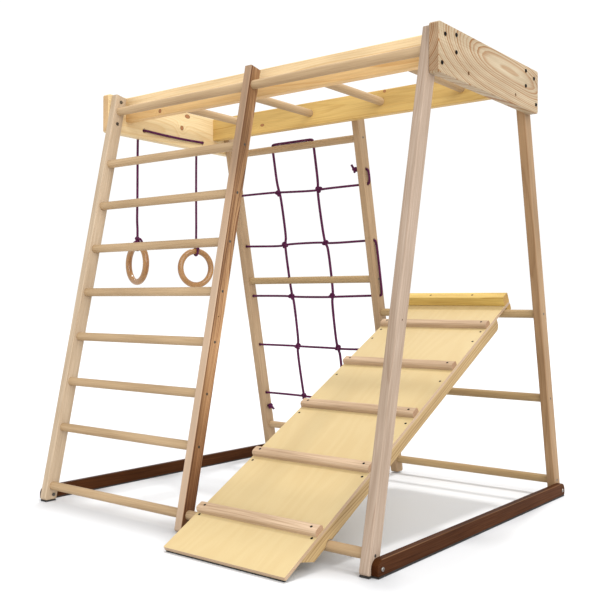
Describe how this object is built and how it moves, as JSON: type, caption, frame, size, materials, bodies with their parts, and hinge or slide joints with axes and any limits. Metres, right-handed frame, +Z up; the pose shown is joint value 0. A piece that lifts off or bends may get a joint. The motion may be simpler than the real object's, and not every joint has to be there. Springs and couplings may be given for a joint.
{
  "type": "toddler climbing frame with slide ramp",
  "caption": "Wooden A-frame toddler climber with ladder, rope net, monkey bars, gym rings and a cleated ramp that hangs on a rung.",
  "frame": {"origin": "on the floor, under the middle of the whole outline, ramp and rings included", "axes": "+Z up, +X to the right end of the frame seen from the ramp's foot, +Y from the ramp's foot towards the back"},
  "size_m": [1.3439, 1.2523, 1.303],
  "materials": {
    "beech": "fine sanded, oiled",
    "heartwood": "fine sanded, oiled",
    "birch_rod": "turned and sanded",
    "golden_pine": "planed, clear lacquer",
    "knotty_pine": "planed, clear lacquer",
    "cathedral_pine": "planed, clear lacquer",
    "dark_stain": "dark brown stain",
    "black_rubber": "matt",
    "black_steel": "black oxide",
    "zinc_steel": "zinc plated",
    "plum_rope": "braided, soft",
    "varnished_ring": "gloss varnish",
    "birch_ply": "sanded, clear lacquer",
    "cleat_wood": "sanded",
    "yellow_pine": "planed"
  },
  "bodies": {
    "frame": {"left_front_leg": "beech", "left_back_leg": "beech", "right_front_leg": "beech", "right_back_leg": "beech", "middle_back_post": "beech", "middle_front_post": "heartwood", "front_top_rod": "birch_rod", "front_bottom_rod": "birch_rod", "ladder_rung_1": "birch_rod", "ladder_rung_2": "birch_rod", "ladder_rung_3": "birch_rod", "ladder_rung_4": "birch_rod", "ladder_rung_5": "birch_rod", "ladder_rung_6": "birch_rod", "ladder_rung_7": "birch_rod", "net_top_rod": "birch_rod", "net_middle_rod": "birch_rod", "net_bottom_rod": "birch_rod", "back_middle_rod": "birch_rod", "back_bottom_rod": "birch_rod", "monkey_bar_1": "birch_rod", "monkey_bar_2": "birch_rod", "monkey_bar_3": "birch_rod", "monkey_bar_4": "birch_rod", "front_long_board": "golden_pine", "back_long_board": "golden_pine", "left_end_board": "knotty_pine", "right_end_board": "cathedral_pine", "left_base_rail": "dark_stain", "right_base_rail": "dark_stain", "left_base_strip": "black_rubber", "right_base_strip": "black_rubber", "leg_pads": "black_rubber", "end_board_bolts": "black_steel", "rod_screws": "zinc_steel", "rail_bolts": "zinc_steel", "sleeve_nuts": "zinc_steel", "net_rope_rows": "plum_rope", "net_rope_drops": "plum_rope", "net_knots": "plum_rope", "ramp_rod": "birch_rod", "ring_rope_link": "plum_rope"},
    "ramp": {"ramp_foot_strip": "black_rubber", "ramp_screws": "black_steel", "ramp_board": "birch_ply", "ramp_cleat_1": "cleat_wood", "ramp_cleat_2": "cleat_wood", "ramp_cleat_3": "cleat_wood", "ramp_cleat_4": "cleat_wood", "ramp_cleat_5": "cleat_wood", "ramp_left_rail": "yellow_pine", "ramp_right_rail": "yellow_pine", "ramp_top_bar": "yellow_pine", "ramp_hook_bar": "yellow_pine"},
    "front_ring_rope": {"ring_rope_front": "plum_rope"},
    "front_ring": {"ring_front": "varnished_ring", "ring_knot_front": "plum_rope"},
    "back_ring_rope": {"ring_rope_back": "plum_rope"},
    "back_ring": {"ring_back": "varnished_ring", "ring_knot_back": "plum_rope"}
  },
  "joints": [
    {"name": "ramp_lift", "type": "hinge", "parent": "frame", "child": "ramp", "pos_m": [0.327, 0.48183, 0.5816], "axis": [-1, 0, 0], "range_deg": [0, 60]},
    {"name": "front_ring_swing", "type": "hinge", "parent": "frame", "child": "front_ring_rope", "pos_m": [-0.6, -0.0765, 1.205], "axis": [0, 1, 0], "range_deg": [0, 60]},
    {"name": "front_ring_twist", "type": "hinge", "parent": "front_ring_rope", "child": "front_ring", "pos_m": [-0.6, -0.0765, 0.84], "axis": [0, 0, 1], "range_deg": [-90, 90]},
    {"name": "back_ring_swing", "type": "hinge", "parent": "frame", "child": "back_ring_rope", "pos_m": [-0.6, 0.2095, 1.205], "axis": [0, 1, 0], "range_deg": [0, 60]},
    {"name": "back_ring_twist", "type": "hinge", "parent": "back_ring_rope", "child": "back_ring", "pos_m": [-0.6, 0.2095, 0.84], "axis": [0, 0, 1], "range_deg": [-90, 90]}
  ]
}
